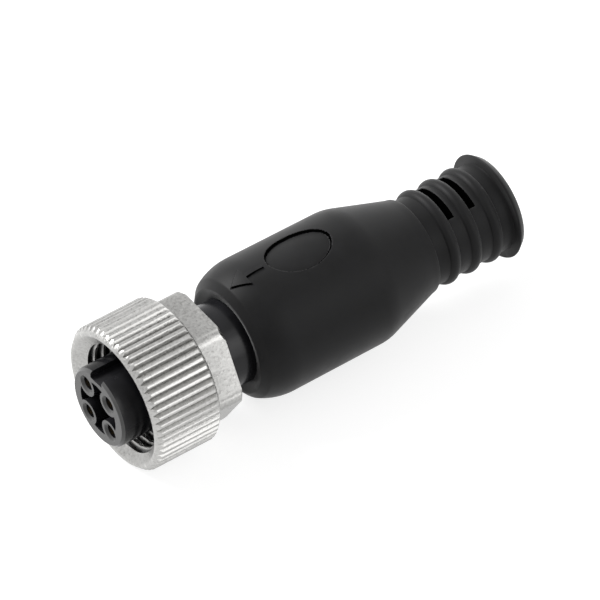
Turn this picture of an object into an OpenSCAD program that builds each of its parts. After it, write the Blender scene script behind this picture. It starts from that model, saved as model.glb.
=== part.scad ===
// Straight M12 socket connector, moulded on its cable, shown without the cable.
// Frame: Z runs along the connector, with the rear end of the boot at z = 0 and the
// mating face on top. The marked side faces -Y. All sizes are in millimetres.

/* [Boot] */
// Diameter of the boot between its rings
boot_d = 9.04; // [8.6:0.02:9.4]
// Length of the boot, from its rear end to the foot of the cone
boot_len = 9.9; // [9.6:0.1:11]
// Distance between neighbouring rings
ring_pitch = 2.5; // [2.2:0.05:2.6]
// Distance from the foot of the cone to the middle of the first ring
ring_setback = 2.05; // [1.8:0.05:2.2]
// Width of a ring at its foot
ring_w = 1.2; // [0.8:0.05:1.4]
// Height of a ring above the boot
ring_h = 0.4; // [0.25:0.05:0.5]
// Diameter of the rear flange
flange_d = 10.84; // [10.2:0.02:11.4]
// Thickness of the rear flange
flange_t = 0.85; // [0.6:0.05:1.1]
// Diameter of the flat end of the flange
flange_end_d = 9.9; // [9.2:0.1:10]
// Radius of the flange's front edge
flange_edge_r = 0.12; // [0.05:0.01:0.2]
// Size of the fillets at the foot of the flange and the cone
boot_fillet = 0.12; // [0.05:0.01:0.14]
// Width of a bending slot along the boot
slot_w = 0.8; // [0.5:0.05:1]
// Angle that a bending slot spans around the boot
slot_angle = 70; // [40:5:90]

/* [Cable inlet] */
// Diameter of the bore that the cable fills
cable_d = 5.4; // [4.4:0.1:6]
// Depth of the cable bore
cable_depth = 19; // [17.5:0.5:20]

/* [Grip] */
// Diameter at the foot of the cone
cone_foot_d = 9.7; // [9.5:0.1:10.4]
// Length of the cone between the boot and the barrel
cone_len = 6.7; // [5.5:0.1:8]
// Largest diameter of the barrel
barrel_d = 14; // [13.4:0.1:15]
// Amount by which the barrel's diameter falls towards the rear
barrel_draft = 0.1; // [0:0.02:0.5]
// Reach of the soft edge on each side of the barrel's rear end
edge_reach = 0.8; // [0.4:0.1:1.8]
// Length of the barrel
barrel_len = 10.9; // [10:0.1:14]
// Length of the domed shoulder in front of the barrel
shoulder_len = 3; // [2:0.1:3.4]
// Slope of the shoulder where it meets the rim, in degrees
shoulder_angle = 28; // [15:1:32]
// Radius of the rounded rim
rim_r = 0.6; // [0.3:0.05:0.7]
// Slope of the nose between the rim and the front face, in degrees
nose_angle = 50; // [46:1:54]
// Outer diameter of the flat front face behind the nut
nose_d = 10.9; // [10.6:0.1:11.4]
// Width of the flat part of the front face
nose_land = 0.25; // [0.1:0.05:0.4]
// Depth of the dish between the front face and the neck
dish_depth = 0.3; // [0.1:0.05:0.5]

/* [Inner mould] */
// Diameter of the inner mould
mould_d = 8.8; // [8.2:0.1:9.4]
// Size of the bevel at the inner mould's rear end
mould_bevel = 1.2; // [0.5:0.1:1.6]

/* [Marks] */
// Length of the oval recess
oval_len = 6.9; // [4:0.1:8]
// Width of the oval recess
oval_w = 4.9; // [2:0.1:5.6]
// Depth of the oval recess
oval_depth = 0.28; // [0.1:0.02:0.5]
// Distance from the middle of the oval to the front end of the barrel
oval_setback = 4.8; // [4.6:0.1:6]
// Width of the raised key arrow's head
arrow_w = 2.4; // [0.8:0.1:3]
// Length of the raised key arrow's head
arrow_head_len = 1.7; // [1:0.1:2.4]
// Width of the raised key arrow's shaft
arrow_shaft_w = 0.44; // [0.2:0.02:0.6]
// Length of the whole key arrow
arrow_len = 3.7; // [2.6:0.1:3.9]
// Height of the key arrow above the barrel
arrow_h = 0.2; // [0.08:0.02:0.26]

/* [Contact carrier] */
// Diameter of the plug that carries the contacts
plug_d = 8.2; // [8:0.05:8.4]
// Length of the plug, from its collar to the mating face
plug_len = 7.55; // [7:0.05:8]
// Width of the coding groove
key_w = 1.8; // [1:0.1:2]
// Depth of the coding groove
key_depth = 0.8; // [0.4:0.05:0.9]
// Depth of the star-shaped recess in the mating face
star_depth = 1.6; // [0.6:0.1:2.4]
// Reach of the star's arms from the middle
star_r = 2.85; // [2.4:0.05:3]
// Diameter of the island around each contact
island_d = 2.56; // [2.3:0.02:2.8]
// Diameter of the collar that holds the nut
collar_d = 10.5; // [10.4:0.02:10.6]
// Thickness of the collar
collar_t = 1; // [0.7:0.05:1.4]
// Diameter of the neck that the nut turns on
neck_d = 8.6; // [8.5:0.05:8.7]
// Diameter of the flange that anchors the carrier in the body
anchor_d = 8.9; // [8.7:0.05:8.95]
// Thickness of the anchor flange
anchor_t = 1.4; // [1:0.1:1.8]
// Distance of the anchor flange's rear face behind the body's front face
anchor_setback = 3.8; // [3.4:0.1:4.4]
// Depth of the groove in front of the anchor flange
anchor_groove_depth = 0.4; // [0.2:0.05:0.6]
// Length of the groove in front of the anchor flange
anchor_groove_len = 0.9; // [0.6:0.1:1.2]
// Size of the bevel around the mating face
face_bevel = 0.25; // [0.1:0.05:0.4]

/* [Contacts] */
// Number of contacts
contact_count = 4; // [4]
// Diameter of the circle through the contacts
contact_pcd = 5; // [4.9:0.05:5.1]
// Outer diameter of a contact
contact_d = 1.7; // [1.5:0.05:1.8]
// Bore of a contact, for a 1 mm pin
contact_bore_d = 1.06; // [1:0.02:1.2]
// Distance of a contact's front end behind the mating face
contact_setback = 1; // [0.6:0.1:1.4]
// Diameter of the entry hole over each contact
entry_d = 1.4; // [1.35:0.01:1.43]
// Width of the spring slots of a contact
contact_slot_w = 0.22; // [0.15:0.01:0.3]
// Length of the spring slots of a contact
contact_slot_len = 4.2; // [3:0.1:5]
// Size of the bevel around an entry hole
entry_bevel = 0.25; // [0.1:0.05:0.35]
// Depth of a contact's bore
contact_bore_len = 7; // [5:0.1:9]
// Size of the bevel at the mouth of a contact
contact_bevel = 0.18; // [0.1:0.01:0.25]
// Diameter of a contact's shoulder behind the carrier
contact_shoulder_d = 2.2; // [2:0.1:2.6]
// Thickness of a contact's shoulder
contact_shoulder_t = 0.8; // [0.5:0.1:1.2]
// Outer diameter of a contact's solder cup
cup_d = 1.6; // [1.4:0.05:1.8]
// Wall of a contact's solder cup
cup_wall = 0.27; // [0.2:0.01:0.35]
// Length of a contact's solder cup
cup_len = 3.2; // [2.5:0.1:4]

/* [Coupling nut] */
// Diameter over the knurling
knurl_d = 14.9; // [14.5:0.1:15.6]
// Length of the knurled part
knurl_len = 7.2; // [6.8:0.1:9]
// Number of knurled grooves
knurl_count = 56; // [44:4:60]
// Width of a knurled groove
groove_w = 0.5; // [0.3:0.02:0.56]
// Depth of a knurled groove
groove_depth = 0.42; // [0.2:0.02:0.46]
// Size of the bevel on the knurling's front end
front_bevel = 0.5; // [0.3:0.05:0.6]
// Size of the bevel on the knurling's rear end
rear_bevel = 0.3; // [0.1:0.05:0.4]
// Width of the hexagon across its flats
hex_af = 11.9; // [11.6:0.1:12.4]
// Length of the hexagon
hex_len = 3; // [2.8:0.1:4]
// Radius of the hexagon's corners
hex_corner_r = 1; // [0.4:0.1:1.6]
// Angle between the hexagon's first corner and the X axis
hex_turn = -4; // [-30:1:30]
// Size of the bevel on the hexagon's rear end
hex_bevel = 0.25; // [0.1:0.05:0.4]
// Inside diameter of the M12 x 1 thread, at its crests
thread_minor_d = 10.92; // [10.9:0.01:10.97]
// Inside diameter of the thread's lead-in at the nut's front end
lead_in_d = 13.3; // [12.6:0.1:13.4]
// Depth of the thread's lead-in
lead_in_depth = 0.9; // [0.5:0.05:1.2]
// Thickness of the wall at the nut's rear end
rear_wall = 1.8; // [1.2:0.05:2.1]
// Diameter of the relief behind the thread
relief_d = 11.8; // [11.4:0.05:12.2]
// Length of the relief behind the thread
relief_len = 1.3; // [1.2:0.05:1.8]
// Distance from the hexagon's front end to the relief
relief_setback = 0.3; // [0.2:0.05:0.5]
// Length of the chamfer at the thread's rear end
thread_chamfer = 0.35; // [0.2:0.05:0.5]
// Free travel of the nut between the collar and the body
nut_travel = 2.8; // [1:0.1:3]

/* [Vibration ring] */
// Wall of the ring that steadies the nut
ring_wall = 0.64; // [0.5:0.02:0.7]
// Width of the key slot that stops the ring turning
ring_key_w = 1.5; // [1:0.1:1.8]
// Depth of the key slot in the neck
ring_key_depth = 0.4; // [0.3:0.02:0.45]

/* [Sealing ring] */
// Thickness of the sealing ring
seal_t = 1.2; // [1:0.05:1.24]
// Depth of the sealing ring's seat in the plug
seat_depth = 0.2; // [0.18:0.01:0.25]

/* [Clearances] */
// Running clearance on each side of the vibration ring
run_gap = 0.06; // [0.04:0.01:0.08]
// Gap left at each end of the nut's travel
stop_gap = 0.05; // [0.03:0.01:0.1]
// Clearance between the nut's rear wall and the neck
neck_gap = 0.2; // [0.15:0.01:0.25]
// Clearance around a contact in the carrier
contact_gap = 0.03; // [0.02:0.01:0.05]
// Slack between the sealing ring and its seat
seal_gap = 0.03; // [0.02:0.01:0.05]

/* [Hidden] */
$fn = 72;
eps = 0.01;
// Distance that a cutter reaches past the surface it opens
over = flange_d / 10;

// Stations along Z, from the rear end to the mating face
cone_z = boot_len;
barrel_z = cone_z + cone_len;
shoulder_z = barrel_z + barrel_len;
rim_z = shoulder_z + shoulder_len;
shoulder_r = shoulder_len / sin(shoulder_angle);
rim_d = barrel_d - 2 * shoulder_r * (1 - cos(shoulder_angle));
rim_centre = [rim_d / 2 - rim_r * cos(shoulder_angle), rim_z - rim_r * sin(shoulder_angle)];
rim_end = rim_centre + rim_r * [cos(nose_angle), sin(nose_angle)];
body_len = rim_end[1] + (rim_end[0] - nose_d / 2) / tan(nose_angle);
nut_z = body_len + stop_gap + nut_travel;
nut_len = hex_len + knurl_len;
knurl_z = nut_z + hex_len;
chamber_z = nut_z + rear_wall;
vibration_d = neck_d + 2 * run_gap + 2 * ring_wall;
chamber_d = vibration_d + 2 * run_gap;
vibration_z = chamber_z + stop_gap;
relief_z = knurl_z + relief_setback;
collar_z = relief_z + stop_gap;
vibration_t = collar_z - stop_gap - vibration_z;
key_slot_z = vibration_z - nut_travel - stop_gap;
plug_z = collar_z + collar_t;
face_z = plug_z + plug_len;
seat_d = plug_d - 2 * seat_depth;
seat_z = plug_z + seal_t + 3 * seal_gap;
thread_z = relief_z + relief_len;
nut_front_z = nut_z + nut_len;
hex_reach = (hex_af / 2 - hex_corner_r) / cos(30) + hex_corner_r;

// Stations inside the body
anchor_z = body_len - anchor_setback;
anchor_groove_z = anchor_z + anchor_t;
neck_z = anchor_groove_z + anchor_groove_len;
contact_front_z = face_z - contact_setback;
contact_len = contact_front_z - anchor_z;
shoulder_rear_z = anchor_z - contact_shoulder_t;
cup_z = shoulder_rear_z - cup_len;

// Points on an arc in the turning profile, as [radius, z]
function arc(centre, r, from, to, steps) =
    [for (i = [0:steps]) let (a = from + (to - from) * i / steps) centre + r * [cos(a), sin(a)]];

// One rounded ring of the boot, from its rear foot to its front foot
function ring_points(z) =
    let (r = (pow(ring_w / 2, 2) + pow(ring_h, 2)) / (2 * ring_h),
         centre = [boot_d / 2 + ring_h - r, z],
         half = asin(ring_w / 2 / r))
    arc(centre, r, -half, half, 8);

function ring_z(i) = boot_len - ring_setback - i * ring_pitch;

// Directions of the contacts around the axis, with the coding groove between two of them
function contact_angle(i) = -90 + (i + 0.5) * 360 / contact_count;

// Outline of the body, from the rear end of the axis to the neck
function body_profile() = concat(
    [[0, 0], [flange_end_d / 2, 0]],
    arc([flange_d / 2 - flange_edge_r, flange_t - flange_edge_r], flange_edge_r, -30, 90, 5),
    [[boot_d / 2 + boot_fillet, flange_t], [boot_d / 2, flange_t + boot_fillet]],
    [for (i = [2:-1:0]) each ring_points(ring_z(i))],
    [[boot_d / 2, cone_z - boot_fillet], [cone_foot_d / 2 - boot_fillet / 2, cone_z],
     [cone_foot_d / 2 + boot_fillet / 2, cone_z + 2 * boot_fillet]],
    cone_edge(),
    arc([barrel_d / 2 - shoulder_r, shoulder_z], shoulder_r, 0, shoulder_angle, 6),
    arc(rim_centre, rim_r, shoulder_angle, nose_angle, 4),
    [[nose_d / 2, body_len], [nose_d / 2 - nose_land, body_len],
     [neck_d / 2, body_len - dish_depth], [0, body_len - dish_depth]]);

// Soft edge between the cone and the barrel, as a quadratic curve
function cone_edge() =
    let (rear_r = barrel_d / 2 - barrel_draft / 2,
         slope = (rear_r - cone_foot_d / 2) / cone_len,
         p0 = [rear_r - edge_reach * slope, barrel_z - edge_reach],
         p1 = [rear_r, barrel_z],
         p2 = [rear_r, barrel_z + edge_reach])
    [for (i = [0:6]) let (t = i / 6) (1 - t) * (1 - t) * p0 + 2 * t * (1 - t) * p1 + t * t * p2];

// A polygon with rounded corners around the Z axis
function rounded_hexagon(flats, r) =
    let (reach = (flats / 2 - r) / cos(30))
    [for (i = [0:5]) for (j = [0:6]) let (a = i * 60 - 30 + j * 10)
        reach * [cos(i * 60), sin(i * 60)] + r * [cos(a), sin(a)]];

// The knurling's section: flat crests with V grooves between them
function knurl_outline() =
    let (step = 360 / knurl_count, crest = step / 2 * (1 - groove_w / (PI * knurl_d / knurl_count)))
    [for (i = [0:knurl_count - 1]) each [
        knurl_d / 2 * [cos(i * step - crest), sin(i * step - crest)],
        knurl_d / 2 * [cos(i * step + crest), sin(i * step + crest)],
        (knurl_d / 2 - groove_depth) * [cos((i + 0.5) * step), sin((i + 0.5) * step)]]];

// The carrier's turned outline, which the body is moulded around
module carrier_form(front_z) {
    rotate_extrude()
        polygon([[0, anchor_z], [anchor_d / 2, anchor_z], [anchor_d / 2, anchor_groove_z],
                 [neck_d / 2 - anchor_groove_depth, anchor_groove_z],
                 [neck_d / 2 - anchor_groove_depth, neck_z], [neck_d / 2, neck_z],
                 [neck_d / 2, front_z], [0, front_z]]);
}

// The inner mould's turned outline
module mould_form() {
    rotate_extrude()
        polygon([[0, cable_depth], [mould_d / 2 - mould_bevel, cable_depth],
                 [mould_d / 2, cable_depth + mould_bevel], [mould_d / 2, anchor_z], [0, anchor_z]]);
}

// A contact's outer form behind its barrel: the shoulder and the solder cup
module contact_tail() {
    translate([0, 0, cup_z])
        cylinder(d = cup_d, h = cup_len + eps);
    translate([0, 0, shoulder_rear_z])
        cylinder(d = contact_shoulder_d, h = contact_shoulder_t);
}

module at_contact(i) {
    translate([contact_pcd / 2 * cos(contact_angle(i)), contact_pcd / 2 * sin(contact_angle(i)), 0])
        children();
}

// A bending slot on one side of the boot
module bending_slot(z, side) {
    rotate([0, 0, side - slot_angle / 2])
        rotate_extrude(angle = slot_angle)
            translate([cable_d / 2 - over, z - slot_w])
                square([flange_d / 2, slot_w]);
}

// An upright outline carried onto the marked side of the barrel, between two radii
module on_barrel(inner_r, outer_r) {
    intersection() {
        translate([0, 0, (barrel_z + body_len) / 2])
            rotate([90, 0, 0])
                linear_extrude(height = outer_r + over)
                    children();
        difference() {
            translate([0, 0, barrel_z])
                cylinder(r = outer_r, h = body_len - barrel_z);
            translate([0, 0, barrel_z - over])
                cylinder(r = inner_r, h = body_len - barrel_z + 2 * over);
        }
    }
}

module oval_cut() {
    shift = shoulder_z - oval_setback - (barrel_z + body_len) / 2;
    on_barrel(barrel_d / 2 - barrel_draft / 2 - oval_depth, barrel_d / 2 + over)
        polygon([for (i = [0:47]) let (a = i * 7.5)
            [oval_w / 2 * cos(a), oval_len / 2 * sin(a) + shift]]);
}

module key_arrow() {
    tip = rim_z - (barrel_z + body_len) / 2;
    head_z = tip - arrow_head_len;
    intersection() {
        on_barrel(barrel_d / 4, barrel_d / 2 + arrow_h)
            polygon([[0, tip], [arrow_w / 2, head_z], [arrow_shaft_w / 2, head_z],
                     [arrow_shaft_w / 2, tip - arrow_len], [-arrow_shaft_w / 2, tip - arrow_len],
                     [-arrow_shaft_w / 2, head_z], [-arrow_w / 2, head_z]]);
        rotate_extrude()
            polygon(concat([[0, barrel_z], [barrel_d / 2 + arrow_h, barrel_z]],
                arc([barrel_d / 2 - shoulder_r, shoulder_z], shoulder_r + arrow_h, 0, shoulder_angle, 6),
                [[0, rim_z + arrow_h]]));
    }
}

module overmould_body() {
    color([0.05, 0.05, 0.055])
        difference() {
            union() {
                rotate_extrude()
                    polygon(body_profile());
                key_arrow();
            }
            translate([0, 0, -over])
                cylinder(d = cable_d, h = cable_depth + over + eps);
            mould_form();
            carrier_form(body_len + over);
            for (i = [0, 1]) {
                for (side = [-90, 90])
                    bending_slot(ring_z(i) - ring_w / 2, side);
            }
            oval_cut();
        }
}

module inner_mould() {
    color([0.12, 0.12, 0.13])
        difference() {
            mould_form();
            for (i = [0:contact_count - 1])
                at_contact(i)
                    contact_tail();
        }
}

module contact_carrier() {
    color([0.07, 0.07, 0.08])
        difference() {
            union() {
                carrier_form(collar_z + eps);
                translate([0, 0, collar_z])
                    cylinder(d = collar_d, h = collar_t);
                rotate_extrude()
                    polygon([[0, plug_z - eps], [seat_d / 2, plug_z - eps], [seat_d / 2, seat_z],
                             [plug_d / 2, seat_z], [plug_d / 2, face_z - face_bevel],
                             [plug_d / 2 - face_bevel, face_z], [0, face_z]]);
            }
            // contact chambers and their entry holes
            for (i = [0:contact_count - 1]) {
                at_contact(i) {
                    translate([0, 0, anchor_z - over])
                        cylinder(d = contact_d + 2 * contact_gap, h = contact_len + contact_gap + over);
                    translate([0, 0, contact_front_z])
                        cylinder(d = entry_d, h = contact_setback + over);
                    translate([0, 0, face_z - entry_bevel])
                        cylinder(d1 = entry_d, d2 = entry_d + 2 * entry_bevel, h = entry_bevel + eps);
                }
            }
            // star-shaped recess between the islands
            difference() {
                translate([0, 0, face_z - star_depth])
                    cylinder(r = star_r, h = star_depth + over);
                for (i = [0:contact_count - 1])
                    at_contact(i)
                        translate([0, 0, face_z - star_depth - over])
                            cylinder(d = island_d, h = star_depth + 3 * over);
            }
            // coding groove
            translate([-key_w / 2, -plug_d / 2 - over, plug_z])
                cube([key_w, key_depth + over, plug_len + over]);
            // slot for the vibration ring's key, on the side away from the marks
            translate([-ring_key_w / 2, neck_d / 2 - ring_key_depth, key_slot_z])
                cube([ring_key_w, ring_key_depth + over, collar_z - key_slot_z]);
        }
}

module sealing_ring() {
    color([0.1, 0.1, 0.1])
        rotate_extrude()
            translate([seat_d / 2 + seal_gap + seal_t / 2, plug_z + seal_gap + seal_t / 2])
                circle(d = seal_t);
}

module vibration_ring() {
    color([0.16, 0.16, 0.17])
        translate([0, 0, vibration_z]) {
            difference() {
                cylinder(d = vibration_d, h = vibration_t);
                translate([0, 0, -over])
                    cylinder(d = neck_d + 2 * run_gap, h = vibration_t + 2 * over);
            }
            translate([-ring_key_w / 2 + run_gap, neck_d / 2 - ring_key_depth + run_gap, 0])
                cube([ring_key_w - 2 * run_gap, ring_key_depth + run_gap, vibration_t]);
        }
}

module coupling_nut() {
    color([0.78, 0.78, 0.76])
        difference() {
            union() {
                // hexagon with a small bevel at its rear end
                intersection() {
                    translate([0, 0, nut_z])
                        rotate([0, 0, hex_turn])
                            linear_extrude(height = hex_len + eps)
                                polygon(rounded_hexagon(hex_af, hex_corner_r));
                    rotate_extrude()
                        polygon([[0, nut_z], [hex_reach - hex_bevel, nut_z],
                                 [hex_reach + eps, nut_z + hex_bevel + eps],
                                 [hex_reach + eps, knurl_z + over], [0, knurl_z + over]]);
                }
                // knurling with bevelled ends
                intersection() {
                    translate([0, 0, knurl_z])
                        linear_extrude(height = knurl_len)
                            polygon(knurl_outline());
                    rotate_extrude()
                        polygon([[0, knurl_z], [knurl_d / 2 - rear_bevel, knurl_z],
                                 [knurl_d / 2 + eps, knurl_z + rear_bevel + eps],
                                 [knurl_d / 2 + eps, nut_front_z - front_bevel - eps],
                                 [knurl_d / 2 - front_bevel, nut_front_z], [0, nut_front_z]]);
                }
            }
            // neck hole, ring chamber, relief, thread bore and lead-in
            rotate_extrude()
                polygon([[0, nut_z - over], [neck_d / 2 + neck_gap, nut_z - over],
                         [neck_d / 2 + neck_gap, chamber_z], [chamber_d / 2, chamber_z],
                         [chamber_d / 2, relief_z], [relief_d / 2, relief_z],
                         [relief_d / 2, thread_z - thread_chamfer], [thread_minor_d / 2, thread_z],
                         [thread_minor_d / 2, nut_front_z - lead_in_depth], [lead_in_d / 2, nut_front_z],
                         [lead_in_d / 2, nut_front_z + over], [0, nut_front_z + over]]);
        }
}

// One socket contact: a slotted spring barrel, a shoulder and a solder cup
module socket_contact(i) {
    color([0.83, 0.66, 0.28])
        at_contact(i)
            difference() {
                union() {
                    translate([0, 0, anchor_z - eps])
                        cylinder(d = contact_d, h = contact_len + eps);
                    contact_tail();
                }
                translate([0, 0, contact_front_z - contact_bore_len])
                    cylinder(d = contact_bore_d, h = contact_bore_len + over);
                translate([0, 0, contact_front_z - contact_bevel])
                    cylinder(d1 = contact_bore_d, d2 = contact_bore_d + 2 * contact_bevel,
                             h = contact_bevel + eps);
                for (turn = [45, 135])
                    rotate([0, 0, turn])
                        translate([-contact_d, -contact_slot_w / 2, contact_front_z - contact_slot_len])
                            cube([2 * contact_d, contact_slot_w, contact_slot_len + over]);
                translate([0, 0, cup_z - over])
                    cylinder(d = cup_d - 2 * cup_wall, h = cup_len);
            }
}

module contact_1() {
    socket_contact(0);
}

module contact_2() {
    socket_contact(1);
}

module contact_3() {
    socket_contact(2);
}

module contact_4() {
    socket_contact(3);
}

overmould_body();
inner_mould();
contact_carrier();
sealing_ring();
vibration_ring();
coupling_nut();
contact_1();
contact_2();
contact_3();
contact_4();
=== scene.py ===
import math

import bpy
import numpy as np
from mathutils import Matrix, Vector


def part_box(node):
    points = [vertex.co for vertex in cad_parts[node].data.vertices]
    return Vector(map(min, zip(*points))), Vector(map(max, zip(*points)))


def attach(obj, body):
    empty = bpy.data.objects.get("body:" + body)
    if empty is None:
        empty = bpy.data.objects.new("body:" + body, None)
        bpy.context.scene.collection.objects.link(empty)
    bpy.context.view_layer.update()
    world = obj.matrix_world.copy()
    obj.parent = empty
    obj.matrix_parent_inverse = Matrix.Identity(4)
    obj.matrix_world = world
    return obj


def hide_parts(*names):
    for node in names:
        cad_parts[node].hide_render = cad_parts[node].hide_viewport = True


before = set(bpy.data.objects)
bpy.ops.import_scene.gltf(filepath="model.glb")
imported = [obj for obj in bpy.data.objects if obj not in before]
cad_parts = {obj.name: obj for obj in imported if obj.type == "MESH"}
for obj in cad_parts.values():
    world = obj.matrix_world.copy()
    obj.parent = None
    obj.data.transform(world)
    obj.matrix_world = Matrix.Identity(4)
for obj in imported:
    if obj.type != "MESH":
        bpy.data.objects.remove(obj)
bpy.context.scene.view_settings.view_transform = "Standard"
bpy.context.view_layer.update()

MM = 0.001

# Stations along the axis in millimetres, read from the CAD boxes
body_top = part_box("overmould_body")[1].z / MM
nut_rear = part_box("coupling_nut")[0].z / MM
nut_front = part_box("coupling_nut")[1].z / MM
face_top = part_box("contact_carrier")[1].z / MM

# Coupling nut
KNURL_R = 7.45
KNURL_LEN = 7.2
FLUTES = 56
FLUTE_W = 0.5
FLUTE_DEPTH = 0.42
FRONT_BEVEL = 0.5
REAR_BEVEL = 0.3
HEX_FLAT = 5.95
HEX_CORNER_R = 1.0
HEX_TURN = math.radians(-4)
HEX_BEVEL = 0.25
THREAD_CREST_R = 5.46
THREAD_ROOT_R = 6.0
THREAD_PITCH = 1.0
LEAD_IN_R = 6.65
LEAD_IN_DEPTH = 0.9
RELIEF_R = 5.9
CHAMBER_R = 5.06
NECK_HOLE_R = 4.5
REAR_WALL = 1.8
RELIEF_SETBACK = 0.3
RELIEF_LEN = 1.3
SOFT_EDGE = 0.04

# Overmoulded body
BOOT_R = 4.52
BORE_R = 2.7
BORE_DEPTH = 19.0
RING_Z = (2.85, 5.35, 7.85)
RING_HALF_W = 0.6
RING_H = 0.4
SLOT_W = 0.8
SLOT_HALF_ANGLE = 35.0
FLANGE_R = 5.42
FLANGE_END_R = 4.95
FLANGE_T = 0.85
CONE_Z = 9.9
CONE_FOOT_R = 4.85
BARREL_Z = 16.6
BARREL_R = 7.0
BARREL_REAR_R = 6.95
EDGE_REACH = 0.8
SHOULDER_Z = 27.5
SHOULDER_LEN = 3.0
SHOULDER_ANGLE = 28.0
RIM_R = 0.6
NOSE_ANGLE = 50.0
NOSE_R = 5.45
NOSE_LAND = 0.25
DISH_DEPTH = 0.3
NECK_R = 4.3
OVAL_HALF_W = 2.45
OVAL_HALF_LEN = 3.45
OVAL_Z = 22.7
OVAL_FLOOR_R = 6.67
ARROW_H = 0.2
ARROW_HALF_W = 1.2
ARROW_HEAD = 1.7
ARROW_SHAFT_HALF_W = 0.22
ARROW_LEN = 3.7
MARK_SIDE = -90.0


# ---------------------------------------------------------------- meshes


def new_mesh(name, points, faces, material):
    """A smooth shaded mesh object with crisp edges over 32 degrees, from points in millimetres."""
    mesh = bpy.data.meshes.new(name)
    mesh.from_pydata((np.asarray(points) * MM).tolist(), [], faces)
    mesh.validate()
    mesh.polygons.foreach_set("use_smooth", [True] * len(mesh.polygons))
    mesh.set_sharp_from_angle(angle=math.radians(32))
    mesh.materials.append(material)
    piece = bpy.data.objects.new(name, mesh)
    bpy.context.scene.collection.objects.link(piece)
    normals = piece.modifiers.new("normals", "WEIGHTED_NORMAL")
    normals.keep_sharp = True
    return piece


def wrapped_rings(rings, skip=frozenset()):
    """Points and faces of a closed skin whose rings run round the axis and back to the first ring."""
    rings = np.asarray(rings)
    rows, columns = rings.shape[:2]
    faces = []
    for i in range(rows):
        below, above = i * columns, (i + 1) % rows * columns
        for j in range(columns):
            if (i, j) not in skip:
                k = (j + 1) % columns
                faces.append((below + j, below + k, above + k, above + j))
    return rings.reshape(-1, 3), faces


def ring(radius, z, angles):
    """One ring of points. The radius and z may each be one value or one for every angle."""
    radius, z = np.broadcast_to(radius, angles.shape), np.broadcast_to(z, angles.shape)
    return np.stack([radius * np.cos(angles), radius * np.sin(angles), z], axis=1)


def smooth_step(x):
    x = np.clip(x, 0, 1)
    return x * x * (3 - 2 * x)


# ---------------------------------------------------------------- coupling nut


def flute_columns():
    """Angles of the nut's columns and the knurled radius at each."""
    half, soft = FLUTE_W / 2, 0.035
    step = 2 * math.pi * KNURL_R / FLUTES
    across = [0, soft, half - soft, half + soft, step / 2, step - half - soft, step - half + soft, step - soft]
    depth = [0.93, 0.8, 0.17, 0.0, -0.01, 0.0, 0.17, 0.8]
    angles, radii = [], []
    for flute in range(FLUTES):
        for s, d in zip(across, depth):
            angles.append(((flute + 0.5) * step + s) / KNURL_R)
            radii.append(KNURL_R - max(d, 0) * FLUTE_DEPTH - (0.006 if d == 0 else 0))
    return np.array(angles), np.array(radii)


def hexagon_radius(angles):
    reach = (HEX_FLAT - HEX_CORNER_R) / math.cos(math.radians(30))
    off = np.mod(angles - HEX_TURN + math.radians(30), math.radians(60)) - math.radians(30)
    inside = np.maximum(HEX_CORNER_R**2 - (reach * np.sin(off)) ** 2, 0)
    corner = reach * np.cos(off) + np.sqrt(inside)
    tangent = math.atan2(HEX_CORNER_R * 0.5, reach + HEX_CORNER_R * math.cos(math.radians(30)))
    flat = HEX_FLAT / np.cos(math.radians(30) - np.abs(off))
    return np.where(np.abs(off) < tangent, corner, flat)


def thread_radius(angles, z):
    """Inside radius of the helical thread at that height, with its run-out and lead-in."""
    rear = nut_rear + 3 + RELIEF_SETBACK + RELIEF_LEN
    phase = np.mod((z - THREAD_PITCH * angles / (2 * math.pi)) / THREAD_PITCH, 1)
    from_crest = np.abs(phase - 0.5) * 2
    depth = np.clip((from_crest - 0.25) / 0.625, 0, 1)
    depth = depth * smooth_step((z - rear) / 0.35)
    cut = THREAD_CREST_R + depth * (THREAD_ROOT_R - THREAD_CREST_R)
    lead_in = LEAD_IN_R - (nut_front - z) * (LEAD_IN_R - THREAD_CREST_R) / LEAD_IN_DEPTH
    return np.maximum(cut, lead_in)


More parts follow.
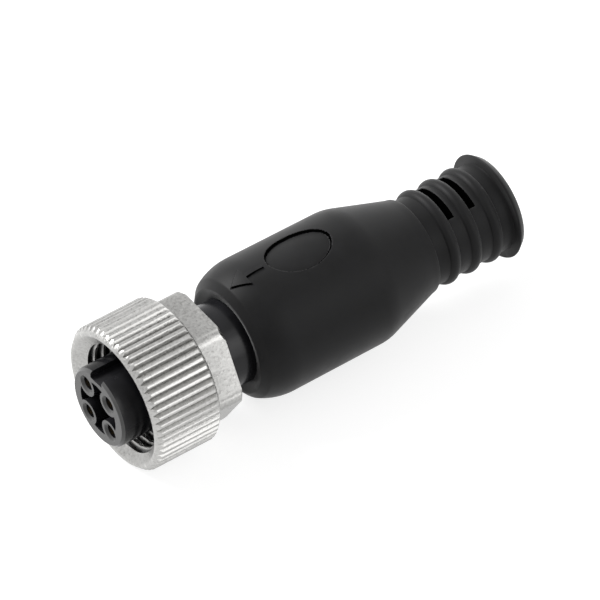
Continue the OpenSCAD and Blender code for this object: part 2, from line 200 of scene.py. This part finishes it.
def nut_rings():
    angles, knurl = flute_columns()
    hexagon = hexagon_radius(angles)
    corner = (HEX_FLAT - HEX_CORNER_R) / math.cos(math.radians(30)) + HEX_CORNER_R - HEX_BEVEL
    knurl_rear = nut_front - KNURL_LEN
    rear_r, front_r = KNURL_R - REAR_BEVEL, KNURL_R - FRONT_BEVEL
    e = SOFT_EDGE
    rows = [
        (NECK_HOLE_R + e, nut_rear),
        (np.minimum(hexagon, corner) - e, nut_rear),
        (np.minimum(hexagon, corner), nut_rear + e),
        (hexagon, nut_rear + 2 * e + np.maximum(hexagon - corner, 0)),
        (hexagon, knurl_rear - 2 * e),
        (hexagon + 0.5 * e, knurl_rear - 0.5 * e),
        (hexagon + 2 * e, knurl_rear),
        (np.minimum(knurl, rear_r) - e, knurl_rear),
        (np.minimum(knurl, rear_r), knurl_rear + 0.5 * e),
        (knurl - 0.2 * e, knurl_rear + e + np.maximum(knurl - rear_r, 0)),
        (knurl, knurl_rear + 2 * e + np.maximum(knurl - rear_r, 0)),
        (knurl, nut_front - 2 * e - np.maximum(knurl - front_r, 0)),
        (knurl - 0.3 * e, nut_front - e - np.maximum(knurl - front_r, 0)),
        (front_r, nut_front - 0.5 * e),
        (front_r - e, nut_front),
        (LEAD_IN_R + e, nut_front),
    ]
    thread_rear = knurl_rear + RELIEF_SETBACK + RELIEF_LEN
    for z in np.arange(nut_front - e, thread_rear, -THREAD_PITCH / 14):
        rows.append((thread_radius(angles, z), z))
    relief, chamber = knurl_rear + RELIEF_SETBACK, nut_rear + REAR_WALL
    rows += [
        (THREAD_CREST_R, thread_rear),
        (RELIEF_R, thread_rear - 0.35),
        (RELIEF_R, relief),
        (CHAMBER_R, relief),
        (CHAMBER_R, chamber),
        (NECK_HOLE_R, chamber),
        (NECK_HOLE_R, nut_rear + e),
    ]
    return [ring(r, z, angles) for r, z in rows]


# ---------------------------------------------------------------- overmoulded body


def arc(centre_r, centre_z, radius, start, end, steps):
    turn = np.radians(np.linspace(start, end, steps + 1))
    return [(centre_r + radius * math.cos(a), centre_z + radius * math.sin(a)) for a in turn]


def boot_ring_line(z):
    radius = (RING_HALF_W**2 + RING_H**2) / (2 * RING_H)
    centre = BOOT_R + RING_H - radius
    half = math.degrees(math.asin(RING_HALF_W / radius))
    line = arc(centre, z, radius, -half, half, 16)
    foot = 0.05
    return [(BOOT_R, z - RING_HALF_W - foot), (BOOT_R + 0.4 * foot, z - RING_HALF_W + 0.2 * foot)] + line[1:-1] + [
        (BOOT_R + 0.4 * foot, z + RING_HALF_W - 0.2 * foot), (BOOT_R, z + RING_HALF_W + foot)]


def slot_bands():
    """The lower and upper z of each bending slot."""
    return [(z - RING_HALF_W - SLOT_W, z - RING_HALF_W) for z in RING_Z[1:]]


def body_line():
    """The body's outer line, from the cable bore's mouth to the neck."""
    line = [(BORE_R + 0.1, 0), (FLANGE_END_R - 0.1, 0), (FLANGE_END_R, 0.05)]
    line += arc(FLANGE_R - 0.12, FLANGE_T - 0.12, 0.12, -30, 90, 6)
    line += [(BOOT_R + 0.15, FLANGE_T), (BOOT_R + 0.04, FLANGE_T + 0.04), (BOOT_R, FLANGE_T + 0.15)]
    line += [(BOOT_R, z) for z in np.linspace(1.2, 2.0, 4)]
    line += boot_ring_line(RING_Z[0])
    for z, (low, high) in zip(RING_Z[1:], slot_bands()):
        line += [(BOOT_R, h) for h in (low - 0.3, low - 0.06, low)]
        line += [(BOOT_R, h) for h in np.linspace(low, high, 5)[1:4]]
        line += [(BOOT_R, high)] + boot_ring_line(z)[1:]
    line += [(BOOT_R, CONE_Z - 0.35), (BOOT_R, CONE_Z - 0.15), (BOOT_R + 0.05, CONE_Z - 0.03)]
    line += arc(CONE_FOOT_R - 0.06, CONE_Z + 0.17, 0.15, -80, -15, 5)
    slope = (BARREL_REAR_R - CONE_FOOT_R) / (BARREL_Z - CONE_Z)
    for z in np.linspace(CONE_Z + 0.5, BARREL_Z - EDGE_REACH - 0.4, 9):
        line.append((CONE_FOOT_R + (z - CONE_Z) * slope, z))
    t = np.linspace(0, 1, 13)
    start = BARREL_REAR_R - EDGE_REACH * slope
    edge_r = (1 - t) ** 2 * start + (1 - (1 - t) ** 2) * BARREL_REAR_R
    line += list(zip(edge_r, BARREL_Z - EDGE_REACH + 2 * EDGE_REACH * t))
    front = BARREL_Z + EDGE_REACH
    arrow_foot = SHOULDER_Z + SHOULDER_LEN - ARROW_LEN - 0.15
    for z in [*np.arange(front, arrow_foot, 0.085)[1:], *np.arange(arrow_foot, SHOULDER_Z, 0.05)]:
        line.append((BARREL_REAR_R + (BARREL_R - BARREL_REAR_R) * (z - front) / (SHOULDER_Z - front), z))
    radius = SHOULDER_LEN / math.sin(math.radians(SHOULDER_ANGLE))
    line += arc(BARREL_R - radius, SHOULDER_Z, radius, 0, SHOULDER_ANGLE, 60)
    rim_top = BARREL_R - radius * (1 - math.cos(math.radians(SHOULDER_ANGLE)))
    centre_r = rim_top - RIM_R * math.cos(math.radians(SHOULDER_ANGLE))
    centre_z = SHOULDER_Z + SHOULDER_LEN - RIM_R * math.sin(math.radians(SHOULDER_ANGLE))
    line += arc(centre_r, centre_z, RIM_R, SHOULDER_ANGLE, NOSE_ANGLE, 6)[1:]
    line += [(NOSE_R + 0.08, body_top - 0.07), (NOSE_R - 0.03, body_top)]
    line += [(NOSE_R - NOSE_LAND + 0.03, body_top), (NOSE_R - NOSE_LAND - 0.03, body_top - 0.02)]
    line += [(NECK_R + 0.1, body_top - DISH_DEPTH + 0.02), (NECK_R + 0.01, body_top - DISH_DEPTH - 0.03)]
    return line


def inner_line():
    """The body's inner line, from the neck down to the cable bore's mouth."""
    line = [(NECK_R + 0.01, 29.7), (4.47, 28.9), (4.47, 27.45), (4.43, 27.4), (4.43, 20.2), (3.2, 19.02)]
    line += [(BORE_R, BORE_DEPTH), (BORE_R, 9.0)]
    for low, high in reversed(slot_bands()):
        line += [(BORE_R, h) for h in np.linspace(high, low, 5)]
    return line + [(BORE_R, 2.0), (BORE_R, 0.1)]


def body_angles():
    """Column angles in degrees: close together around the marks and at the slots' ends."""
    edge = np.concatenate([np.linspace(11, 22, 19)[1:], np.linspace(22, SLOT_HALF_ANGLE, 13)[1:]])
    marked = np.concatenate([-edge[::-1], np.linspace(-11, 11, 57), edge]) + MARK_SIDE
    ends = np.array([-0.6, 0.6])
    right = np.concatenate([MARK_SIDE + SLOT_HALF_ANGLE + ends[1:], np.linspace(-52, 52, 36)])
    far = np.linspace(-SLOT_HALF_ANGLE, SLOT_HALF_ANGLE, 25) - MARK_SIDE
    far = np.concatenate([far[:1] + ends[:1], far, far[-1:] + ends[1:]])
    left = np.concatenate([np.linspace(128, 232, 36), MARK_SIDE - SLOT_HALF_ANGLE + 360 + ends[:1]])
    return np.concatenate([marked, right, far, left])


def polygon_distance(x, z, corners):
    """Signed distance to a polygon, negative inside."""
    best = np.full(x.shape, 1e9)
    inside = np.zeros(x.shape, bool)
    for (x0, z0), (x1, z1) in zip(corners, corners[1:] + corners[:1]):
        dx, dz = x1 - x0, z1 - z0
        t = np.clip(((x - x0) * dx + (z - z0) * dz) / (dx * dx + dz * dz), 0, 1)
        best = np.minimum(best, np.hypot(x - x0 - t * dx, z - z0 - t * dz))
        crosses = (z0 > z) != (z1 > z)
        where = (z - z0) * dx - (x - x0) * dz
        inside ^= crosses & ((where > 0) == (dz > 0))
    return np.where(inside, -best, best)


def marked_radius(radius, x, z):
    """The body's radius with the oval recess and the raised key arrow."""
    reach = np.hypot(x / OVAL_HALF_W, (z - OVAL_Z) / OVAL_HALF_LEN)
    gap = (reach - 1) * OVAL_HALF_W
    sunk = smooth_step((0.06 - gap) / 0.16)
    radius = radius + (OVAL_FLOOR_R - radius) * sunk
    tip = SHOULDER_Z + SHOULDER_LEN
    head = tip - ARROW_HEAD
    arrow = [(0, tip), (ARROW_HALF_W, head), (ARROW_SHAFT_HALF_W, head), (ARROW_SHAFT_HALF_W, tip - ARROW_LEN),
             (-ARROW_SHAFT_HALF_W, tip - ARROW_LEN), (-ARROW_SHAFT_HALF_W, head), (-ARROW_HALF_W, head)]
    raised = smooth_step((0.04 - polygon_distance(x, z, arrow)) / 0.07)
    return radius + ARROW_H * raised


def body_skin():
    degrees = body_angles()
    angles = np.radians(degrees)
    outer, inner = body_line(), inner_line()
    line = np.array(outer + inner)
    count = len(outer)
    z = np.broadcast_to(line[:, 1:2], (len(line), len(angles))).copy()
    radius = np.broadcast_to(line[:, 0:1], z.shape).copy()
    x = radius * np.cos(angles)[None, :]
    near = (np.sin(angles) < 0)[None, :] & (np.arange(len(line)) < count)[:, None]
    near = near & (z > BARREL_Z) & (z < SHOULDER_Z + SHOULDER_LEN + 0.1)
    radius = np.where(near, marked_radius(radius, x, z), radius)
    skip, walls = set(), []
    for side in (MARK_SIDE, -MARK_SIDE):
        c0 = int(np.argmin(np.abs(degrees - (side - SLOT_HALF_ANGLE))))
        c1 = int(np.argmin(np.abs(degrees - (side + SLOT_HALF_ANGLE))))
        for low, high in slot_bands():
            on = [i for i in range(count) if low - 1e-6 <= line[i, 1] <= high + 1e-6 and line[i, 0] < BOOT_R + 1e-6]
            within = [i for i in range(count, len(line)) if low - 1e-6 <= line[i, 1] <= high + 1e-6]
            within.reverse()
            columns = len(angles)
            for i in range(on[0], on[-1]):
                skip.update((i, j) for j in range(c0, c1))
            for i in range(within[-1], within[0]):
                skip.update((i, j) for j in range(c0, c1))
            for i, k in ((on[0], within[0]), (on[-1], within[-1])):
                quad = [(i * columns + j, i * columns + j + 1, k * columns + j + 1, k * columns + j)
                        for j in range(c0, c1)]
                walls += quad if i == on[0] else [face[::-1] for face in quad]
            for a in range(len(on) - 1):
                for j in (c0, c1):
                    face = (on[a] * columns + j, on[a + 1] * columns + j,
                            within[a + 1] * columns + j, within[a] * columns + j)
                    walls.append(face[::-1] if j == c0 else face)
            for i in (on[0], on[-1]):
                radius[i, c0:c1 + 1] -= 0.05
            for i in on[1:-1]:
                radius[i, [c0, c1]] -= 0.05
    rings = np.stack([radius * np.cos(angles), radius * np.sin(angles), z], axis=2)
    points, faces = wrapped_rings(rings, skip)
    return points, faces + walls


# ---------------------------------------------------------------- materials


def value_group(name, inputs, outputs):
    """An empty shader group with those inputs and outputs, each given as (name, kind, value)."""
    group = bpy.data.node_groups.new(name, "ShaderNodeTree")
    for socket, kind, value in inputs:
        made = group.interface.new_socket(socket, in_out="INPUT", socket_type=kind)
        made.default_value = value
    for socket, kind in outputs:
        group.interface.new_socket(socket, in_out="OUTPUT", socket_type=kind)
    return group, group.nodes.new("NodeGroupInput"), group.nodes.new("NodeGroupOutput")


def math_node(tree, operation, *values, clamp=False):
    node = tree.nodes.new("ShaderNodeMath")
    node.operation = operation
    node.use_clamp = clamp
    for socket, value in zip(node.inputs, values):
        if isinstance(value, (int, float)):
            socket.default_value = value
        else:
            tree.links.new(value, socket)
    return node.outputs[0]


def noise_node(tree, scale, detail, roughness=0.5):
    """Fractal noise in the piece's own millimetres."""
    place = tree.nodes.new("ShaderNodeTexCoord")
    noise = tree.nodes.new("ShaderNodeTexNoise")
    noise.inputs["Detail"].default_value = detail
    noise.inputs["Roughness"].default_value = roughness
    tree.links.new(place.outputs["Object"], noise.inputs["Vector"])
    if isinstance(scale, (int, float)):
        noise.inputs["Scale"].default_value = scale
    else:
        tree.links.new(scale, noise.inputs["Scale"])
    return noise.outputs["Fac"]


def grain_group():
    """Fine surface grain with slow mottling: a height, and a mask from 0 to 1."""
    group, given, result = value_group(
        "surface_grain",
        [("Grain scale", "NodeSocketFloat", 9000.0), ("Mottle scale", "NodeSocketFloat", 400.0),
         ("Mottle share", "NodeSocketFloat", 0.3)],
        [("Height", "NodeSocketFloat"), ("Mottle", "NodeSocketFloat")])
    fine = noise_node(group, given.outputs["Grain scale"], 3, 0.6)
    slow = noise_node(group, given.outputs["Mottle scale"], 4, 0.55)
    mottle = math_node(group, "MULTIPLY_ADD", math_node(group, "SUBTRACT", slow, 0.5), 2.4, 0.5, clamp=True)
    height = math_node(group, "MULTIPLY_ADD", mottle, given.outputs["Mottle share"], fine)
    group.links.new(height, result.inputs["Height"])
    group.links.new(mottle, result.inputs["Mottle"])
    return group


def painted_edge_light_and_shade_group():
    """Masks from 0 on flat faces to 1 where edges stand proud and where corners are hollow, used to paint
    highlights on the edges and shade in the hollows.
    """
    group, given, result = value_group(
        "painted_edge_light_and_shade",
        [("Gain", "NodeSocketFloat", 6.0)],
        [("Proud", "NodeSocketFloat"), ("Hollow", "NodeSocketFloat")])
    geometry = group.nodes.new("ShaderNodeNewGeometry")
    proud = math_node(group, "SUBTRACT", geometry.outputs["Pointiness"], 0.5)
    scaled = math_node(group, "MULTIPLY", proud, given.outputs["Gain"])
    group.links.new(math_node(group, "MINIMUM", scaled, 1.0, clamp=True), result.inputs["Proud"])
    group.links.new(math_node(group, "MULTIPLY", scaled, -1.0, clamp=True), result.inputs["Hollow"])
    return group


def axis_place_group():
    """Where a point lies on a turned piece: its distance from the axis and its height, in millimetres."""
    group, given, result = value_group(
        "place_on_axis", [], [("Radius", "NodeSocketFloat"), ("Height", "NodeSocketFloat")])
    place = group.nodes.new("ShaderNodeTexCoord")
    parts = group.nodes.new("ShaderNodeSeparateXYZ")
    group.links.new(place.outputs["Object"], parts.inputs[0])
    square = math_node(group, "MULTIPLY", parts.outputs["X"], parts.outputs["X"])
    square = math_node(group, "MULTIPLY_ADD", parts.outputs["Y"], parts.outputs["Y"], square)
    radius = math_node(group, "MULTIPLY", math_node(group, "SQRT", square), 1 / MM)
    group.links.new(radius, result.inputs["Radius"])
    group.links.new(math_node(group, "MULTIPLY", parts.outputs["Z"], 1 / MM), result.inputs["Height"])
    return group


GRAIN = grain_group()
def steep_group():
    """1 where the surface turns away from the axis's own outward direction, as on the walls of a recess."""
    group, given, result = value_group("steep_walls", [], [("Mask", "NodeSocketFloat")])
    place = group.nodes.new("ShaderNodeTexCoord")
    flat = group.nodes.new("ShaderNodeVectorMath")
    flat.operation = "MULTIPLY"
    flat.inputs[1].default_value = (1, 1, 0)
    group.links.new(place.outputs["Object"], flat.inputs[0])
    outward = group.nodes.new("ShaderNodeVectorMath")
    outward.operation = "NORMALIZE"
    group.links.new(flat.outputs[0], outward.inputs[0])
    turn = group.nodes.new("ShaderNodeVectorMath")
    turn.operation = "DOT_PRODUCT"
    group.links.new(outward.outputs[0], turn.inputs[0])
    group.links.new(place.outputs["Normal"], turn.inputs[1])
    away = math_node(group, "SUBTRACT", 0.84, turn.outputs["Value"])
    group.links.new(math_node(group, "MULTIPLY", away, 6.0, clamp=True), result.inputs["Mask"])
    return group


PAINTED_EDGE_LIGHT_AND_SHADE = painted_edge_light_and_shade_group()
AXIS_PLACE = axis_place_group()
STEEP = steep_group()


def place_group(tree, group, **values):
    node = tree.nodes.new("ShaderNodeGroup")
    node.node_tree = group
    for name, value in values.items():
        node.inputs[name.replace("_", " ")].default_value = value
    return node


def mix_colours(tree, factor, first, second):
    node = tree.nodes.new("ShaderNodeMix")
    node.data_type = "RGBA"
    tree.links.new(factor, node.inputs["Factor"])
    node.inputs["A"].default_value = (*first, 1)
    node.inputs["B"].default_value = (*second, 1)
    return node.outputs["Result"]


def map_value(tree, value, low, high):
    node = tree.nodes.new("ShaderNodeMapRange")
    node.inputs["To Min"].default_value = low
    node.inputs["To Max"].default_value = high
    tree.links.new(value, node.inputs["Value"])
    return node.outputs["Result"]


def tint(tree, shader, mask, colour):
    """Blend the base colour toward another where the mask is 1."""
    before = shader.inputs["Base Color"].links[0].from_socket
    after = mix_colours(tree, mask, (0, 0, 0), colour)
    tree.links.new(before, after.node.inputs["A"])
    tree.links.new(after, shader.inputs["Base Color"])


def finish_material(name, dark, light, rough, bump, grain, metallic=0.0, specular=0.5):
    """A moulded or cast finish: mottled colour and roughness over a grain that also bumps the surface."""
    material = bpy.data.materials.new(name)
    material.use_nodes = True
    tree = material.node_tree
    shader = tree.nodes["Principled BSDF"]
    surface = place_group(tree, GRAIN, **grain)
    tree.links.new(mix_colours(tree, surface.outputs["Mottle"], dark, light), shader.inputs["Base Color"])
    tree.links.new(map_value(tree, surface.outputs["Mottle"], *rough), shader.inputs["Roughness"])
    shader.inputs["Metallic"].default_value = metallic
    shader.inputs["Specular IOR Level"].default_value = specular
    relief = tree.nodes.new("ShaderNodeBump")
    relief.inputs["Strength"].default_value = bump[0]
    relief.inputs["Distance"].default_value = bump[1] * MM
    tree.links.new(surface.outputs["Height"], relief.inputs["Height"])
    tree.links.new(relief.outputs["Normal"], shader.inputs["Normal"])
    return material, tree, shader, surface


def nickel_material():
    """Satin plated casting, with painted highlights on the crests and painted shade in the grooves and between the
    thread's crests.
    """
    material, tree, shader, surface = finish_material(
        "nickel_plate", (0.3, 0.298, 0.29), (0.45, 0.447, 0.437), (0.24, 0.4), (0.35, 0.05),
        dict(Grain_scale=5200.0, Mottle_scale=3600.0, Mottle_share=0.8), metallic=1.0)
    edges = place_group(tree, PAINTED_EDGE_LIGHT_AND_SHADE, Gain=5.0)
    # Painted highlight on the knurl's crests and painted shade in its grooves
    tint(tree, shader, math_node(tree, "MULTIPLY", edges.outputs["Proud"], 0.7), (0.64, 0.635, 0.62))
    tint(tree, shader, math_node(tree, "MULTIPLY", edges.outputs["Hollow"], 0.85), (0.05, 0.05, 0.05))
    # Painted shade in the thread's roots inside the nut
    place = place_group(tree, AXIS_PLACE)
    behind_lead_in = math_node(tree, "LESS_THAN", place.outputs["Height"], nut_front - LEAD_IN_DEPTH + 0.1)
    before_hexagon = math_node(tree, "GREATER_THAN", place.outputs["Height"], nut_front - KNURL_LEN)
    inside = math_node(tree, "LESS_THAN", place.outputs["Radius"], THREAD_ROOT_R + 0.05)
    root = math_node(tree, "SUBTRACT", place.outputs["Radius"], THREAD_CREST_R + 0.08)
    root = math_node(tree, "MULTIPLY", root, 6.0, clamp=True)
    painted_thread_shade = math_node(tree, "MULTIPLY", math_node(tree, "MULTIPLY", behind_lead_in, inside), root)
    painted_thread_shade = math_node(tree, "MULTIPLY", painted_thread_shade, before_hexagon)
    tint(tree, shader, math_node(tree, "MULTIPLY", painted_thread_shade, 0.9), (0.04, 0.04, 0.04))
    return material


def carrier_material():
    """Glossy moulded black, paler where its mating face points forward."""
    material, tree, shader, surface = finish_material(
        "glossy_black_carrier", (0.008, 0.008, 0.009), (0.013, 0.013, 0.015), (0.2, 0.28), (0.1, 0.01),
        dict(Grain_scale=5000.0, Mottle_scale=400.0, Mottle_share=0.4), specular=0.22)
    place = tree.nodes.new("ShaderNodeTexCoord")
    parts = tree.nodes.new("ShaderNodeSeparateXYZ")
    tree.links.new(place.outputs["Normal"], parts.inputs[0])
    height = place_group(tree, AXIS_PLACE).outputs["Height"]
    facing = math_node(tree, "GREATER_THAN", parts.outputs["Z"], 0.6)
    front = math_node(tree, "GREATER_THAN", height, face_top - 0.3)
    tint(tree, shader, math_node(tree, "MULTIPLY", facing, front), (0.085, 0.085, 0.085))
    return material


def body_material():
    """Matte moulded black, with painted highlights on proud edges, and painted shade with no reflection or sheen in
    the slots and on the walls of the marks.
    """
    material, tree, shader, surface = finish_material(
        "soft_black_body", (0.003, 0.003, 0.0032), (0.006, 0.006, 0.0065), (0.42, 0.52), (0.22, 0.015),
        dict(Grain_scale=7000.0, Mottle_scale=500.0, Mottle_share=0.3))
    edges = place_group(tree, PAINTED_EDGE_LIGHT_AND_SHADE, Gain=4.0)
    # Painted highlight: proud edges such as the boot's ring crests and the rim are paler
    tint(tree, shader, math_node(tree, "MULTIPLY", edges.outputs["Proud"], 0.8), (0.05, 0.05, 0.051))
    # Painted shade on the walls of the oval recess and the arrow and in the slots: darker, with no reflection or
    # sheen
    place = place_group(tree, AXIS_PLACE)
    on_barrel = math_node(tree, "GREATER_THAN", place.outputs["Height"], BARREL_Z + EDGE_REACH)
    before_rim = math_node(tree, "LESS_THAN", place.outputs["Height"], SHOULDER_Z + SHOULDER_LEN - 0.1)
    wall = math_node(tree, "MULTIPLY", on_barrel, before_rim)
    wall = math_node(tree, "MULTIPLY", wall, place_group(tree, STEEP).outputs["Mask"])
    in_slot = math_node(tree, "LESS_THAN", place.outputs["Radius"], BOOT_R - 0.08)
    on_boot = math_node(tree, "LESS_THAN", place.outputs["Height"], CONE_Z)
    above_flange = math_node(tree, "GREATER_THAN", place.outputs["Height"], FLANGE_T)
    slot = math_node(tree, "MULTIPLY", math_node(tree, "MULTIPLY", in_slot, on_boot), above_flange)
    painted_wall_and_slot_shade = math_node(tree, "MAXIMUM", wall, slot)
    tint(tree, shader, painted_wall_and_slot_shade, (0.001, 0.001, 0.001))
    tree.links.new(map_value(tree, painted_wall_and_slot_shade, 0.11, 0.0), shader.inputs["Specular IOR Level"])
    tree.links.new(map_value(tree, painted_wall_and_slot_shade, 0.13, 0.0), shader.inputs["Sheen Weight"])
    return material


seal_black = finish_material(
    "seal_rubber_black", (0.01, 0.01, 0.01), (0.015, 0.015, 0.015), (0.36, 0.46), (0.1, 0.01),
    dict(Grain_scale=6000.0, Mottle_scale=500.0, Mottle_share=0.3))[0]
dark_plastic = finish_material(
    "dark_inner_plastic", (0.02, 0.02, 0.022), (0.032, 0.032, 0.035), (0.4, 0.52), (0.15, 0.01),
    dict(Grain_scale=6000.0, Mottle_scale=500.0, Mottle_share=0.3))[0]
gold = finish_material(
    "gold_plate", (0.76, 0.53, 0.2), (0.86, 0.62, 0.27), (0.2, 0.32), (0.1, 0.01),
    dict(Grain_scale=6000.0, Mottle_scale=900.0, Mottle_share=0.4), metallic=1.0)[0]
body_black = body_material()
gloss_black = carrier_material()
nickel = nickel_material()


# ---------------------------------------------------------------- pieces

nut = new_mesh("knurled_nut", *wrapped_rings(nut_rings()), nickel)
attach(nut, "turning_nut")
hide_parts("coupling_nut")

body = new_mesh("moulded_body", *body_skin(), body_black)
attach(body, "connector_body")
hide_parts("overmould_body")

CARRIED = {
    "contact_carrier": gloss_black, "sealing_ring": seal_black, "vibration_ring": dark_plastic,
    "inner_mould": dark_plastic, "contact_1": gold, "contact_2": gold, "contact_3": gold, "contact_4": gold}
for node_name, material in CARRIED.items():
    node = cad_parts[node_name]
    node.data.materials.clear()
    node.data.materials.append(material)

# ---------------------------------------------------------------- camera, floor and light

AXIS = Vector((0, 0, 1))
CAMERA_AZIMUTH = math.radians(-42)
CAMERA_ELEVATION = math.radians(24)
AXIS_TILT = math.radians(27.45)
DISTANCE = 0.7
PIXELS_PER_METRE = 10600
FRAME_PIXELS = 600

toward = Vector((math.sin(CAMERA_AZIMUTH) * math.cos(CAMERA_ELEVATION),
                 -math.cos(CAMERA_AZIMUTH) * math.cos(CAMERA_ELEVATION), math.sin(CAMERA_ELEVATION)))
along = (AXIS - AXIS.dot(toward) * toward).normalized()
across = toward.cross(along)
right = -math.cos(AXIS_TILT) * along + math.sin(AXIS_TILT) * across
up = -math.sin(AXIS_TILT) * along - math.cos(AXIS_TILT) * across
middle = Vector((0, 0, 22.8 * MM))

camera_data = bpy.data.cameras.new("camera")
camera_data.sensor_width = 36
camera_data.lens = 36 * PIXELS_PER_METRE * DISTANCE / FRAME_PIXELS
camera_data.clip_start, camera_data.clip_end = 0.01, 20
camera = bpy.data.objects.new("camera", camera_data)
bpy.context.scene.collection.objects.link(camera)
camera.matrix_world = Matrix.Translation(middle + toward * DISTANCE + up * (3.5 / PIXELS_PER_METRE)) @ Matrix(
    (right, up, toward)).transposed().to_4x4()
bpy.context.scene.camera = camera

# The part lies on its side with the marks up, so the floor faces -Y
floor_up = Vector((0, -1, 0))
floor_mesh = bpy.data.meshes.new("floor")
half = 2.0
floor_mesh.from_pydata([(-half, 0, -half), (half, 0, -half), (half, 0, half), (-half, 0, half)], [], [(0, 1, 2, 3)])
floor = bpy.data.objects.new("floor", floor_mesh)
floor.location = -floor_up * KNURL_R * MM
bpy.context.scene.collection.objects.link(floor)


def seen_directly(tree):
    """1 for rays that show the surroundings as they are: straight, in gloss and through glass."""
    path = tree.nodes.new("ShaderNodeLightPath")
    both = math_node(tree, "MAXIMUM", path.outputs["Is Camera Ray"], path.outputs["Is Glossy Ray"])
    return math_node(tree, "MAXIMUM", both, path.outputs["Is Transmission Ray"])


def floor_material():
    material = bpy.data.materials.new("pale_floor")
    material.use_nodes = True
    tree = material.node_tree
    tree.nodes.clear()
    matte = tree.nodes.new("ShaderNodeBsdfDiffuse")
    matte.inputs["Color"].default_value = (0.45, 0.45, 0.45, 1)
    glow = tree.nodes.new("ShaderNodeEmission")
    tree.links.new(math_node(tree, "MULTIPLY", seen_directly(tree), 0.75), glow.inputs["Strength"])
    both = tree.nodes.new("ShaderNodeAddShader")
    tree.links.new(matte.outputs[0], both.inputs[0])
    tree.links.new(glow.outputs[0], both.inputs[1])
    clear = tree.nodes.new("ShaderNodeBsdfTransparent")
    geometry = tree.nodes.new("ShaderNodeNewGeometry")
    choose = tree.nodes.new("ShaderNodeMixShader")
    tree.links.new(geometry.outputs["Backfacing"], choose.inputs[0])
    tree.links.new(both.outputs[0], choose.inputs[1])
    tree.links.new(clear.outputs[0], choose.inputs[2])
    output = tree.nodes.new("ShaderNodeOutputMaterial")
    tree.links.new(choose.outputs[0], output.inputs["Surface"])
    return material


floor_mesh.materials.append(floor_material())

world = bpy.data.worlds.new("studio")
world.use_nodes = True
bpy.context.scene.world = world
world_tree = world.node_tree
background = world_tree.nodes["Background"]
background.inputs["Color"].default_value = (1, 1, 1, 1)
world_tree.links.new(map_value(world_tree, seen_directly(world_tree), 0.5, 1.0), background.inputs["Strength"])


def soft_lamp(name, direction, size, power, distance=0.5):
    """An area lamp aimed at the middle. The direction is given as (left, up from the floor, toward the camera)."""
    left, high, near = direction
    way = (-right * left + floor_up * high + toward * near).normalized()
    data = bpy.data.lights.new(name, "AREA")
    data.shape = "DISK"
    data.size = size
    data.energy = power
    lamp = bpy.data.objects.new(name, data)
    lamp.location = middle + way * distance
    lamp.rotation_mode = "QUATERNION"
    lamp.rotation_quaternion = way.to_track_quat("Z", "Y")
    bpy.context.scene.collection.objects.link(lamp)
    return lamp


soft_lamp("key_lamp", (0.7, 1.0, -0.5), 0.3, 3.2)
soft_lamp("fill_lamp", (-0.8, 0.5, 0.3), 0.4, 0.3)
soft_lamp("low_lamp", (-0.83, 0.0, 0.68), 0.4, 0.6)
